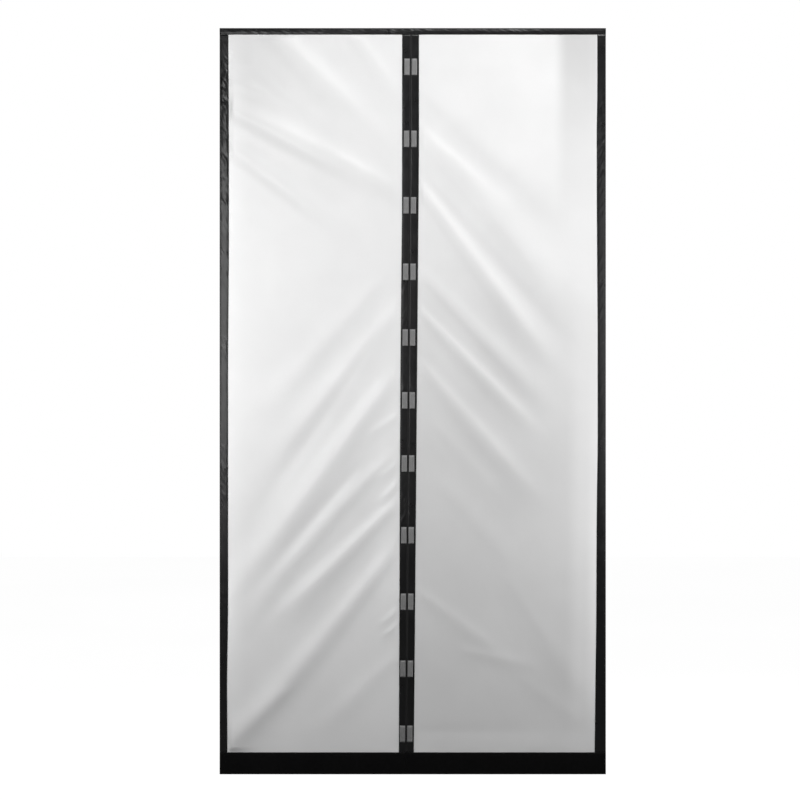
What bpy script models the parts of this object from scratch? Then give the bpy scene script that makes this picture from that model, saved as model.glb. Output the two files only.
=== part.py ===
"""Magnetic door curtain: two leaves of frosted film bound in black tape, with a row of magnets down the seam.

Left and right are as seen from the front, which faces -Y, with +X to the right and +Z up. The origin is
the middle of the header hook strip's back face, the face that sticks to the head of the door frame, and
the whole curtain hangs in front of the plane y = 0. Lengths are in metres.
"""

import math

import bmesh
import bpy
from mathutils import Vector

# Whole curtain
WIDTH = 1.092
HEIGHT = 2.110

# Room left between two layers that lie on each other
FIT = 0.0003

# Film
FILM = 0.0004
PANE_COLUMNS = 18
PANE_ROWS = 72
FLAT_BORDER = 0.002

# Binding tape, folded over the film's edges
TAPE_CLOTH = 0.0005
HEADER_TAPE = 0.0184
EDGE_TAPE = 0.0254
FOLD_STEPS = 4

# Hem band, folded up round the film's foot
HEM = 0.0622
HEM_LAP = 0.012

# Seam between the leaves, which hangs a little to the left of upright
SEAM_HEAD = -0.0051
SEAM_FOOT = -0.0190
SEAM_GAP = 0.0005

# Hook and loop strips behind the header and edge tapes
HOOK_STRIP = 0.0012
LOOP_STRIP = 0.0012
STRIP_INSET = 0.0015
STRIP_JOIN = 0.002

# Bar magnets
PAIRS = 11
MAGNET_WIDTH = 0.010
MAGNET_LENGTH = 0.040
MAGNET_THICKNESS = 0.002
MAGNET_BEVEL = 0.0004

# Cloth pockets that hold the magnets on the front of the seam tapes
POCKET_CLOTH = 0.0004
POCKET_SLOPE = 0.0006
FLANGE_SIDE = 0.0012
FLANGE_END = 0.0020
POCKET_TO_SEAM = 0.0027
POCKET_TO_FILM = 0.0053
FIRST_POCKET = 0.0913
LAST_POCKET = 0.0526
# How much lower than an even spacing each pair is sewn
SEWING_DRIFT = (0, 0.015, 0.0144, 0.0139, 0.011, 0, -0.0099, 0.0045, 0.004, 0.0048, 0)

# Folds in the film, which stand out towards the front
FOLD_HEIGHT = 0.008
FOLD_HALF_WIDTH = 0.038
FOLD_FADE = 0.35
FOLD_RUNOUT = 0.030
# Each fold: start and end of its crest, as shares of the pane across from the left and down from the top,
# how far its middle sags below the straight line as a share of its length, then its height and width as
# shares of FOLD_HEIGHT and FOLD_HALF_WIDTH
LEFT_FOLDS = (
    ((0.24, 0.01), (0.90, 0.16), 0.05, 1.00, 1.5),
    ((0.04, 0.10), (0.82, 0.21), -0.02, 0.80, 1.0),
    ((0.10, 0.16), (0.53, 0.24), 0.00, 0.45, 0.9),
    ((0.76, 0.36), (0.30, 0.47), 0.00, 0.35, 1.1),
    ((0.98, 0.37), (0.68, 0.47), 0.00, 0.55, 0.8),
    ((0.98, 0.45), (0.41, 0.65), 0.02, 0.95, 1.0),
    ((0.98, 0.52), (0.76, 0.56), 0.00, 0.35, 0.6),
    ((0.98, 0.55), (0.35, 0.73), 0.01, 0.75, 0.9),
    ((0.98, 0.64), (0.35, 0.80), 0.04, 0.90, 0.9),
    ((0.97, 0.71), (0.07, 0.98), 0.05, 1.00, 1.1),
    ((0.99, 0.84), (0.64, 0.99), 0.00, 0.50, 1.5),
)
RIGHT_FOLDS = (
    ((0.20, 0.13), (0.43, 0.23), 0.00, 0.30, 0.9),
    ((0.12, 0.16), (0.80, 0.38), -0.02, 0.90, 1.1),
    ((0.08, 0.25), (0.60, 0.41), -0.01, 0.90, 0.9),
    ((0.10, 0.35), (0.63, 0.49), -0.02, 0.65, 0.9),
    ((0.04, 0.41), (0.57, 0.54), 0.00, 0.70, 0.8),
    ((0.18, 0.53), (0.49, 0.61), 0.00, 0.35, 1.0),
)

# Depths of the layers, from the door frame forwards
LOOP_BACK = -(HOOK_STRIP + FIT)
TAPE_BACK = LOOP_BACK - LOOP_STRIP - FIT
TAPE_DEPTH = 2 * (TAPE_CLOTH + FIT) + FILM
TAPE_MIDDLE = TAPE_BACK - TAPE_DEPTH / 2
POCKET_BACK = TAPE_BACK - TAPE_DEPTH - FIT

# Heights of the header's and hem's edges
TOP = HEADER_TAPE / 2
HEADER_LINE = TOP - HEADER_TAPE
BOTTOM = TOP - HEIGHT
HEM_LINE = BOTTOM + HEM

# Half sizes of a pocket's hollow and of its outer edge
HOLLOW_X = MAGNET_WIDTH / 2 + FIT
HOLLOW_Z = MAGNET_LENGTH / 2 + FIT
POCKET_X = HOLLOW_X + POCKET_SLOPE + POCKET_CLOTH + FLANGE_SIDE
POCKET_Z = HOLLOW_Z + POCKET_SLOPE + POCKET_CLOTH + FLANGE_END
SEAM_TAPE = POCKET_TO_SEAM + 2 * POCKET_X + POCKET_TO_FILM

LEFT, RIGHT = -1, 1
SIDES = (("left", LEFT), ("right", RIGHT))

# Looks: name, colour, roughness, metallic
FILM_LOOK = ("frosted_film", (0.80, 0.80, 0.80), 0.35, 0.0)
TAPE_LOOK = ("tape_cloth", (0.012, 0.012, 0.013), 0.75, 0.0)
HEM_LOOK = ("hem_cloth", (0.005, 0.005, 0.006), 0.80, 0.0)
POCKET_LOOK = ("pocket_cloth", (0.22, 0.22, 0.22), 0.70, 0.0)
MAGNET_LOOK = ("ferrite", (0.06, 0.06, 0.065), 0.45, 0.3)
LOOP_LOOK = ("loop_pile", (0.010, 0.010, 0.011), 0.95, 0.0)
HOOK_LOOK = ("hook_strip", (0.014, 0.014, 0.015), 0.60, 0.0)


def material(look):
    """The material of one look, made the first time it is asked for."""
    name, colour, roughness, metallic = look
    if name in bpy.data.materials:
        return bpy.data.materials[name]
    made = bpy.data.materials.new(name)
    made.use_nodes = True
    surface = made.node_tree.nodes["Principled BSDF"]
    surface.inputs["Base Color"].default_value = (*colour, 1)
    surface.inputs["Roughness"].default_value = roughness
    surface.inputs["Metallic"].default_value = metallic
    return made


def mesh_from(name, bm, look):
    """A mesh with the faces of bm, all pointing out, in one material."""
    bmesh.ops.recalc_face_normals(bm, faces=bm.faces)
    mesh = bpy.data.meshes.new(name)
    bm.to_mesh(mesh)
    bm.free()
    mesh.materials.append(material(look))
    mesh.shade_smooth()
    mesh.set_sharp_from_angle(angle=math.radians(35))
    return mesh


def place(name, mesh, location, turn=0.0):
    """A sub-part at its place on the curtain, turned about the line that points to the front."""
    part = bpy.data.objects.new(name, mesh)
    part.location = location
    part.rotation_euler.y = turn
    part.parent = bpy.data.objects["curtain"]
    bpy.context.scene.collection.objects.link(part)
    return part


def seam_x(z):
    """Where the two leaves meet at height z."""
    down = (HEADER_LINE - z) / (HEADER_LINE - HEM_LINE)
    return SEAM_HEAD + (SEAM_FOOT - SEAM_HEAD) * down


def outer_edge(side):
    return side * WIDTH / 2


def seam_edge(side, z):
    return seam_x(z) + side * SEAM_GAP / 2


def folded_section(width):
    """Outside and inside of a cloth strip folded in half: (distance in from the fold, depth) from back to front."""
    bend = TAPE_DEPTH / 2
    paths = []
    for radius in (bend, bend - TAPE_CLOTH):
        path = [(width, radius)]
        for step in range(FOLD_STEPS + 1):
            angle = math.pi * (0.5 + step / FOLD_STEPS)
            path.append((bend + radius * math.cos(angle), radius * math.sin(angle)))
        path.append((width, -radius))
        paths.append(path)
    return paths


def folded_strip(width, inward, along):
    """A strip of that section, open on its inward side and drawn out along a vector from its first end."""
    bm = bmesh.new()
    outside, inside = (
        [bm.verts.new(inward * distance + Vector((0, depth, 0))) for distance, depth in path]
        for path in folded_section(width)
    )
    end = [
        bm.faces.new((outside[i], outside[i + 1], inside[i + 1], inside[i]))
        for i in range(len(outside) - 1)
    ]
    drawn = bmesh.ops.extrude_face_region(bm, geom=end)["geom"]
    far = [v for v in drawn if isinstance(v, bmesh.types.BMVert)]
    bmesh.ops.translate(bm, vec=along, verts=far)
    return bm, far


def header_tape():
    """The top tape, one strip across both leaves."""
    bm, _ = folded_strip(HEADER_TAPE, Vector((0, 0, -1)), Vector((WIDTH, 0, 0)))
    mesh = mesh_from("header_tape", bm, TAPE_LOOK)
    place("header_tape", mesh, (-WIDTH / 2, TAPE_MIDDLE, TOP))


def upright_tapes(name, side):
    """The edge and seam tapes of one leaf, which butt against the header above and the hem below."""
    top, foot = HEADER_LINE - FIT, HEM_LINE + FIT
    drop = Vector((0, 0, foot - top))
    bm, _ = folded_strip(EDGE_TAPE, Vector((-side, 0, 0)), drop)
    mesh = mesh_from(f"{name}_edge_tape", bm, TAPE_LOOK)
    place(f"{name}_edge_tape", mesh, (outer_edge(side), TAPE_MIDDLE, top))
    lean = drop + Vector((seam_x(foot) - seam_x(top), 0, 0))
    bm, _ = folded_strip(SEAM_TAPE, Vector((side, 0, 0)), lean)
    mesh = mesh_from(f"{name}_seam_tape", bm, TAPE_LOOK)
    place(f"{name}_seam_tape", mesh, (seam_edge(side, top), TAPE_MIDDLE, top))


def hem_band(name, side):
    """The hem of one leaf, closed at the foot, its seam end in line with the seam."""
    start = outer_edge(side)
    bm, far = folded_strip(HEM, Vector((0, 0, 1)), Vector((-start, 0, 0)))
    for v in far:
        v.co.x = seam_edge(side, BOTTOM + v.co.z) - start
    mesh = mesh_from(f"{name}_hem_band", bm, HEM_LOOK)
    place(f"{name}_hem_band", mesh, (start, TAPE_MIDDLE, BOTTOM))


def ease(share):
    """0 below 0, 1 above 1, and a smooth rise between."""
    share = min(max(share, 0), 1)
    return share * share * (3 - 2 * share)


def fold_height(folds, size, across, down):
    """How far the film stands forward at a point of a pane of that size."""
    width, height = size
    height_here = 0
    for start, end, sag, tall, wide in folds:
        start = Vector((start[0] * width, start[1] * height))
        line = Vector((end[0] * width, end[1] * height)) - start
        if line.x < 0:
            start, line = start + line, -line
        offset = Vector((across, down)) - start
        share = offset.dot(line) / line.length_squared
        below = (line.x * offset.y - line.y * offset.x) / line.length
        below -= sag * line.length * 4 * share * (1 - share)
        length = ease(share / FOLD_FADE) * ease((1 - share) / FOLD_FADE)
        profile = math.exp(-((below / (wide * FOLD_HALF_WIDTH)) ** 2))
        height_here += tall * FOLD_HEIGHT * length * profile
    for room in (across, width - across, down, height - down):
        height_here *= ease(room / FOLD_RUNOUT)
    return height_here


def stations(edge, flat, far_flat, far_edge, cells):
    """Where a grid's lines lie: both edges of the film, both ends of the pane, and even steps between."""
    step = (far_flat - flat) / cells
    return [edge, *(flat + step * i for i in range(cells + 1)), far_edge]


def film_leaf(name, side, folds):
    """One sheet of film: flat inside its tapes and hem, folded in the pane between them."""
    rows = stations(
        TOP - TAPE_DEPTH / 2,
        HEADER_LINE - FLAT_BORDER,
        HEM_LINE + FLAT_BORDER,
        HEM_LINE - HEM_LAP,
        PANE_ROWS,
    )
    pane_height = rows[1] - rows[-2]
    bm = bmesh.new()
    grid = bmesh.ops.create_grid(bm, x_segments=PANE_COLUMNS + 2, y_segments=PANE_ROWS + 2, size=0.5)
    for v in grid["verts"]:
        column = round((v.co.x + 0.5) * (PANE_COLUMNS + 2))
        row = round((0.5 - v.co.y) * (PANE_ROWS + 2))
        z = rows[row]
        ends = sorted((outer_edge(side) - side * TAPE_DEPTH / 2, seam_edge(side, z) + side * TAPE_DEPTH / 2))
        taped = (EDGE_TAPE, SEAM_TAPE) if side == LEFT else (SEAM_TAPE, EDGE_TAPE)
        pane = (
            ends[0] - TAPE_DEPTH / 2 + taped[0] + FLAT_BORDER,
            ends[1] + TAPE_DEPTH / 2 - taped[1] - FLAT_BORDER,
        )
        x = stations(ends[0], *pane, ends[1], PANE_COLUMNS)[column]
        height = fold_height(folds, (pane[1] - pane[0], pane_height), x - pane[0], rows[1] - z)
        v.co = (x, -height - FILM / 2, z)
    thick = bmesh.ops.extrude_face_region(bm, geom=bm.faces[:])["geom"]
    back = [v for v in thick if isinstance(v, bmesh.types.BMVert)]
    bmesh.ops.translate(bm, vec=(0, FILM, 0), verts=back)
    place(f"{name}_film_leaf", mesh_from(f"{name}_film_leaf", bm, FILM_LOOK), (0, TAPE_MIDDLE, 0))


def slab(name, low, high, look):
    """A flat strip between two opposite corners."""
    bm = bmesh.new()
    bmesh.ops.create_cube(bm, size=1)
    bmesh.ops.scale(bm, vec=high - low, verts=bm.verts)
    place(name, mesh_from(name, bm, look), (low + high) / 2)


def fastening_strips(kind, back, thickness, look):
    """One layer of the hook-and-loop fastening: across the header and down both outer edges."""
    front = back - thickness
    strip_foot = HEADER_LINE + STRIP_INSET
    slab(
        f"header_{kind}_strip",
        Vector((STRIP_INSET - WIDTH / 2, front, strip_foot)),
        Vector((WIDTH / 2 - STRIP_INSET, back, TOP - STRIP_INSET)),
        look,
    )
    for name, side in SIDES:
        across = sorted(side * (WIDTH / 2 - inset) for inset in (STRIP_INSET, EDGE_TAPE - STRIP_INSET))
        slab(
            f"{name}_{kind}_strip",
            Vector((across[0], front, BOTTOM + STRIP_INSET)),
            Vector((across[1], back, strip_foot - STRIP_JOIN)),
            look,
        )


def magnet_mesh():
    """A bar magnet with broken edges, its back on y = 0."""
    bm = bmesh.new()
    bmesh.ops.create_cube(bm, size=1)
    bmesh.ops.scale(bm, vec=(MAGNET_WIDTH, MAGNET_THICKNESS, MAGNET_LENGTH), verts=bm.verts)
    bmesh.ops.translate(bm, vec=(0, -MAGNET_THICKNESS / 2, 0), verts=bm.verts)
    bmesh.ops.bevel(
        bm, geom=bm.edges[:], offset=MAGNET_BEVEL, segments=1, profile=0.5, affect="EDGES", material=-1
    )
    return mesh_from("magnet", bm, MAGNET_LOOK)


def pocket_mesh():
    """A pocket: a raised cloth cover with sloping sides and a sewn flange, open towards the tape on y = 0."""
    ceiling = MAGNET_THICKNESS + FIT
    outer_foot = POCKET_SLOPE + POCKET_CLOTH
    rings = (
        (HOLLOW_X, HOLLOW_Z, ceiling),
        (HOLLOW_X + POCKET_SLOPE, HOLLOW_Z + POCKET_SLOPE, 0),
        (POCKET_X, POCKET_Z, 0),
        (POCKET_X, POCKET_Z, POCKET_CLOTH),
        (HOLLOW_X + outer_foot, HOLLOW_Z + outer_foot, POCKET_CLOTH),
        (HOLLOW_X + POCKET_CLOTH, HOLLOW_Z + POCKET_CLOTH, ceiling + POCKET_CLOTH),
    )
    bm = bmesh.new()
    loops = [
        [bm.verts.new((x * across, -forward, z * up)) for across, up in ((1, 1), (-1, 1), (-1, -1), (1, -1))]
        for x, z, forward in rings
    ]
    for ring, next_ring in zip(loops, loops[1:]):
        for i in range(4):
            j = (i + 1) % 4
            bm.faces.new((ring[i], ring[j], next_ring[j], next_ring[i]))
    bm.faces.new(loops[0])
    bm.faces.new(loops[-1])
    return mesh_from("magnet_pocket", bm, POCKET_LOOK)


def magnet_pairs():
    """The magnets in their pockets, in pairs down the seam and in line with it."""
    magnet, pocket = magnet_mesh(), pocket_mesh()
    first, last = HEADER_LINE - FIRST_POCKET, HEM_LINE + LAST_POCKET
    lean = math.atan2(SEAM_HEAD - SEAM_FOOT, HEADER_LINE - HEM_LINE)
    for pair in range(PAIRS):
        z = first + (last - first) * pair / (PAIRS - 1) - SEWING_DRIFT[pair % len(SEWING_DRIFT)]
        for name, side in SIDES:
            x = seam_edge(side, z) + side * (POCKET_TO_SEAM + POCKET_X)
            for piece, mesh in (("magnet", magnet), ("magnet_pocket", pocket)):
                place(f"{name}_{piece}_{pair + 1:02d}", mesh, (x, POCKET_BACK, z), lean)


def main():
    for old in list(bpy.data.objects):
        bpy.data.objects.remove(old)
    curtain = bpy.data.objects.new("curtain", None)
    bpy.context.scene.collection.objects.link(curtain)
    for (name, side), folds in zip(SIDES, (LEFT_FOLDS, RIGHT_FOLDS)):
        film_leaf(name, side, folds)
        upright_tapes(name, side)
        hem_band(name, side)
    header_tape()
    fastening_strips("loop", LOOP_BACK, LOOP_STRIP, LOOP_LOOK)
    fastening_strips("hook", 0, HOOK_STRIP, HOOK_LOOK)
    magnet_pairs()


main()
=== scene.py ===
"""Magnetic door curtain: film leaves, tapes, hems, magnets in their pockets, fastening strips and stitching.

Left and right are as seen from the front, which faces -Y, with +X to the right and +Z up. Lengths are in
metres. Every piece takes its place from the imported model, and rides on it.
"""

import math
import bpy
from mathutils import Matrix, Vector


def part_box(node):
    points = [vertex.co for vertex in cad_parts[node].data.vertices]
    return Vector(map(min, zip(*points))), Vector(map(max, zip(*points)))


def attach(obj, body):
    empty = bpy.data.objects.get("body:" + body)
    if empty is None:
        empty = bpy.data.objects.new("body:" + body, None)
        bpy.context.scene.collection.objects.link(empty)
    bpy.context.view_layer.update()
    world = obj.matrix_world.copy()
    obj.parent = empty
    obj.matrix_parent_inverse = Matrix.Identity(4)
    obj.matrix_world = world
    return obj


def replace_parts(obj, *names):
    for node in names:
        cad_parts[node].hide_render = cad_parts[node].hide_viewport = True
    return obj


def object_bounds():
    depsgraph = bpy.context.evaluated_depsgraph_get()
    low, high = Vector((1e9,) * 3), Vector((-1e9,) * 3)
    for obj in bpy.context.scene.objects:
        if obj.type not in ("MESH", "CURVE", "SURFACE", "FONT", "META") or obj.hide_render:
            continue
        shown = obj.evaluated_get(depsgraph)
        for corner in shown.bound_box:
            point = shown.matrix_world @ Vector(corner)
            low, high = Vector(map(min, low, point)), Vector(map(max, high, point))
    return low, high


bl_info = {
    "name": "Magnetic Door Curtain",
    "version": (1, 0, 0),
    "blender": (4, 5, 0),
    "location": "View3D > Sidebar > Curtain",
    "description": "Models the film, tapes, hems, pockets, strips and stitching of a magnetic door curtain",
    "category": "Add Mesh",
}

import bmesh
import bpy
import numpy as np
from bpy.props import FloatProperty, FloatVectorProperty, PointerProperty
from mathutils import Euler, Matrix, Vector, noise

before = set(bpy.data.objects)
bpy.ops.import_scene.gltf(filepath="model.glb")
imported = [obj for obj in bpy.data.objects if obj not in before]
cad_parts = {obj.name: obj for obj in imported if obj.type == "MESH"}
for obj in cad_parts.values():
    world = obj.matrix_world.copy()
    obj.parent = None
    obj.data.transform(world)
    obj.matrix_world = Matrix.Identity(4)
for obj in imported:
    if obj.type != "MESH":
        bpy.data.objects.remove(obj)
CAD_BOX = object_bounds()

BODY = "root"
SIDES = {"left": -1, "right": 1}
NUMBERS = sorted(node[-2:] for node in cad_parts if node.startswith("left_magnet_pocket"))

# The layers' depths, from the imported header
HEADER_LOW, HEADER_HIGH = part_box("header_tape")
TAPE_FRONT, TAPE_BACK = HEADER_LOW.y, HEADER_HIGH.y
TAPE_MIDDLE = (TAPE_FRONT + TAPE_BACK) / 2
BEND = (TAPE_BACK - TAPE_FRONT) / 2

# How finely the cloth is divided
LAYER_CELLS = 12
BEND_CELLS = 6

# How far the magnets press the seam tapes' folded edges into each other
PRESS = 0.00004

# Stitch rows, as distances from a tape's folded edge or from a raw edge, and how far short rows stop
ROW_INSET = 0.0028
HEM_ROWS = (0.0035, 0.0085)
ROW_END = 0.001
STITCH_FRONT = TAPE_FRONT - 0.0001
STITCH_BACK = TAPE_BACK + 0.0001

# How firmly a stitch row holds the cloth down, from 0 to 1, and how far to each side of it
TAPE_GRIP = (0.85, 0.0016)
HEM_GRIP = (0.8, 0.0018)

# The puckers that run all along the tapes and along the hems' rows, and the most that a front stands out
LEAST_PUCKER = 0.00008
HEM_PUCKER = 0.0003
TAPE_PROUD = 0.0024
HEM_PROUD = 0.0015

# How far inside the tapes' raw edges the film starts to fold, and the most that it sinks behind its place
PANE_BORDER = 0.0015
FILM_SINK = 0.0032

# How far in from its border the film comes to its full rise and its puckers reach, how much paler a painted
# highlight line beside the outer tape and the header makes it, and how far in, and how much of a leaf's
# width the tapes cover
FILM_EASE = 0.011
PUCKER_REACH = 0.014
PAINTED_EDGE_HIGHLIGHT = (0.07, 0.006)
TAPES_COVER = 0.05

# A fold's size at its start and at its end, and the shares of its length in which it comes in and fades
FOLD_GROWTH = (0.55, 1.45)
FOLD_ENDS = (0.15, 0.5)

# The hook strips' base, the width beside the hooks, half the thickness of the rows' stems and of their
# heads, the heads' depth, and how far inside the base the adhesive ends
HOOK_BASE = 0.00035
HOOK_MARGIN = 0.0012
HOOK_STEM, HOOK_HEAD = 0.00018, 0.00036
HEAD_DEPTH = 0.00022
ADHESIVE_INSET = 0.0006

# The loop strips' bare edge beside the pile, where their ground ends as a share of their thickness, how
# uneven the pile is, and stations across a strip as shares of its half width
LOOP_SELVEDGE = 0.0012
LOOP_GROUND = 0.45
TUFT = 0.00012
LOOP_STATIONS = np.array((-1, -0.90, -0.85, -0.6, -0.3, 0, 0.3, 0.6, 0.85, 0.90, 1))

# Stations from a pocket's middle to the edge of its flange, across and up, closest over the magnet's edges
POCKET_STATIONS = (
    np.array((0, 0.002, 0.0038, 0.005, 0.0055, 0.0059, 0.0063, 0.0068, 0.00765)),
    np.array((0, 0.0045, 0.009, 0.0135, 0.0175, 0.0199, 0.0205, 0.0209, 0.0213, 0.0219, 0.02335)),
)

# What a pocket was cut to, across and up, how far from its middle the magnet's edges show, and half the
# height of the flat spot that it needs on its tape
POCKET_CUT = (0.016, 0.048)
MAGNET_EDGE = (0.0062, 0.0212)
POCKET_SEAT = 0.0235

# How high a pocket's crown is and how uneven, how far its side rows are from its middle, and the close
# stitches across its ends: how many to each side, how far apart, how far from its middle, and their length
POCKET_CROWN = (0.00024, 0.0001)
POCKET_ROW = 0.007
BAR_STITCHES = (7, 0.00095, 0.0224, 0.0018)

# How much wider than true each tape was sewn: share down from the header, extra width
TAPE_WANDER = {
    "left_edge_tape": ((0, -0.0005), (0.15, 0.0007), (0.3, 0.0008), (0.45, -0.0015), (0.8, -0.0015),
                       (0.9, -0.0044), (1, -0.0036)),
    "right_edge_tape": ((0, -0.0013), (0.09, -0.0014), (0.12, 0.0005), (0.25, 0.0001), (0.4, -0.0022),
                        (0.58, -0.0025), (0.65, 0.0002), (0.82, 0.0017), (1, 0.0064)),
    "left_seam_tape": ((0, 0.0014), (0.14, -0.0003), (0.25, -0.0014), (0.44, -0.0001), (0.6, -0.0003),
                       (0.8, -0.0018), (1, -0.003)),
    "right_seam_tape": ((0, -0.0005), (0.16, 0.0018), (0.4, 0.001), (0.6, 0.0004), (0.8, -0.0003),
                        (1, -0.0013)),
}

# Where a tape puckers: share down at the middle of the run, half its length, how high it stands
TAPE_PUCKERS = {
    "left_edge_tape": ((0.09, 0.07, 0.0026), (0.21, 0.06, 0.0012), (0.31, 0.03, 0.0008),
                       (0.44, 0.04, 0.0004), (0.62, 0.05, 0.0006), (0.85, 0.1, 0.0004)),
    "right_edge_tape": ((0.14, 0.06, 0.0026), (0.35, 0.1, 0.0004), (0.52, 0.04, 0.0005),
                        (0.67, 0.02, 0.0007), (0.73, 0.02, 0.0006), (0.81, 0.03, 0.0006)),
    "left_seam_tape": ((0.1, 0.04, 0.0004), (0.38, 0.03, 0.0004), (0.5, 0.03, 0.0005),
                       (0.66, 0.03, 0.0006), (0.82, 0.02, 0.0005)),
    "right_seam_tape": ((0.16, 0.05, 0.0004), (0.49, 0.02, 0.0005), (0.66, 0.02, 0.0005),
                        (0.82, 0.02, 0.0005)),
    "header_tape": ((0.1, 0.08, 0.001), (0.28, 0.1, 0.001), (0.5, 0.06, 0.0012),
                    (0.75, 0.12, 0.0008)),
}

# Folds in each leaf of film: where the crest starts and ends as shares of the pane across and down, its
# height as a share of the fold height, its half widths above and below the crest as shares of the fold width
# and, where it isn't straight, how far its middle sags as a share of its length. A fold widens and rises
# along its run.
FILM_FOLDS = {
    "left": (
        ((-0.1, -0.09), (1.15, 0.215), 1.3, 1.1, 1.1),
        ((-0.6, 0.03), (1.2, 0.25), 1.8, 1.1, 0.75),
        ((0.6, 0.165), (1.1, 0.235), 0.4, 0.6, 0.5),
        ((-0.3, 0.105), (0.95, 0.32), 1.2, 0.9, 0.7),
        ((-0.3, -0.03), (0.6, 0.135), -0.6, 0.8, 0.6),
        ((-0.05, 0.03), (0.2, 0.05), 0.3, 0.3, 0.3),
        ((-0.05, 0.06), (0.25, 0.085), 0.35, 0.3, 0.4),
        ((-0.05, 0.13), (0.15, 0.145), 0.25, 0.3, 0.3),
        ((0.65, -0.03), (1.05, 0.11), 0.45, 0.6, 0.7),
        ((0.98, 0.32), (0.1, 0.55), 0.35, 0.9, 0.7),
        ((1.06, 0.36), (0.2, 0.615), 0.65, 0.8, 0.9),
        ((0.95, 0.39), (0.00, 0.725), -0.35, 0.6, 0.6),
        ((1.05, 0.447), (-0.2, 0.855), 1.15, 0.9, 1.1),
        ((0.8, 0.59), (0.05, 0.8), -0.25, 0.5, 0.5),
        ((1.05, 0.52), (0.75, 0.57), 0.25, 0.3, 0.4),
        ((1.05, 0.565), (-0.1, 0.885), 0.6, 0.8, 0.7, -0.03),
        ((1.04, 0.585), (0.84, 0.63), 0.25, 0.25, 0.3),
        ((1.04, 0.61), (0.86, 0.66), 0.35, 0.25, 0.3),
        ((1.05, 0.635), (0.15, 0.85), 0.9, 0.6, 0.8),
        ((1.05, 0.69), (-0.35, 1.08), 1.00, 0.9, 0.9, 0.02),
        ((0.4, 0.9), (-0.2, 1.03), 0.4, 0.8, 0.6),
        ((1.04, 0.79), (0.86, 0.83), 0.25, 0.25, 0.3),
        ((1.04, 0.81), (0.88, 0.845), 0.25, 0.2, 0.25),
        ((1.05, 0.85), (0.4, 1.00), 0.35, 0.7, 0.9),
    ),
    "right": (
        ((-0.05, 0.06), (0.95, 0.28), 0.6, 1.6, 0.8),
        ((-0.05, 0.115), (0.65, 0.28), 0.35, 0.6, 0.5),
        ((-0.05, 0.13), (0.9, 0.41), 1.4, 1.4, 0.9, -0.03),
        ((0.00, 0.19), (1.00, 0.48), -0.4, 0.5, 0.6),
        ((-0.05, 0.19), (0.84, 0.49), 1.6, 0.6, 0.9),
        ((-0.05, 0.315), (0.82, 0.54), 0.9, 0.8, 0.6),
        ((-0.08, 0.36), (0.75, 0.575), 0.95, 0.4, 0.7),
        ((-0.05, 0.44), (0.75, 0.67), 0.85, 0.6, 0.9),
        ((0.05, 0.53), (0.6, 0.68), 0.15, 0.5, 0.6),
        ((0.05, 0.6), (0.9, 0.84), 0.3, 1.0, 1.0),
        ((-0.05, 0.765), (0.6, 0.89), 0.25, 0.5, 0.7),
        ((0.2, 0.855), (0.8, 0.89), 0.2, 0.5, 0.6),
        ((0.45, 0.74), (1.1, 0.98), 0.35, 1.0, 1.0),
        ((0.55, 0.89), (1.05, 0.985), 0.15, 0.7, 0.6),
        ((-0.3, 0.972), (1.2, 0.972), -0.12, 0.6, 0.5),
    ),
}

# Painted light and shade on the film, as paler and darker patches: share across where a patch starts, how
# far it takes to come in, and its strength at shares down
FILM_PAINTED_SHADING = {
    "left": (
        (0.4, 0.4, ((0, -0.03), (0.1, 0), (0.25, 0.045), (0.5, 0.05), (0.65, 0), (1, 0.02))),
        (0.12, -0.12, ((0, 0.07), (0.08, 0.14), (0.18, 0.07), (0.3, 0.02), (0.6, 0.04), (0.8, 0.1),
                       (0.95, 0.06), (1, 0))),
        (0.78, 0.14, ((0.5, 0), (0.57, 0.05), (0.65, 0.08), (0.75, 0.07), (0.82, 0))),
        (-0.3, 0.3, ((0.7, 0), (0.85, 0.03))),
        (0.5, -0.5, ((0, -0.11), (0.08, -0.09), (0.16, 0))),
    ),
    "right": (
        (0.75, 0.09, ((0, -0.24), (0.06, -0.19), (0.15, -0.09), (0.25, -0.01), (0.35, 0))),
        (0.82, 0.1, ((0.3, 0), (0.4, 0.02), (0.55, 0.09), (0.9, 0.12), (1, 0.02))),
        (0.93, 0.07, ((0, 0.04), (0.35, -0.02), (0.45, 0), (0.6, 0.06), (0.8, 0.11), (0.95, 0.08), (1, 0))),
        (-0.3, 0.3, ((0, -0.03), (0.1, 0.04), (0.3, 0.03), (0.4, -0.06), (0.5, -0.1), (0.6, -0.12),
                     (0.75, -0.1), (0.93, -0.07), (1, 0.02))),
        (0.25, 0.35, ((0, 0), (0.04, 0.03), (0.15, 0.03), (0.25, 0))),
    ),
}


# Settings


def amount(name, description, default, least=0.0, unit="LENGTH", **limits):
    return FloatProperty(name=name, description=description, default=default, min=least, unit=unit,
                         precision=5, **limits)


def colour(name, description, *default):
    return FloatVectorProperty(name=name, description=description, default=(*default, 1), size=4,
                               subtype="COLOR", min=0, max=1)


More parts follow.
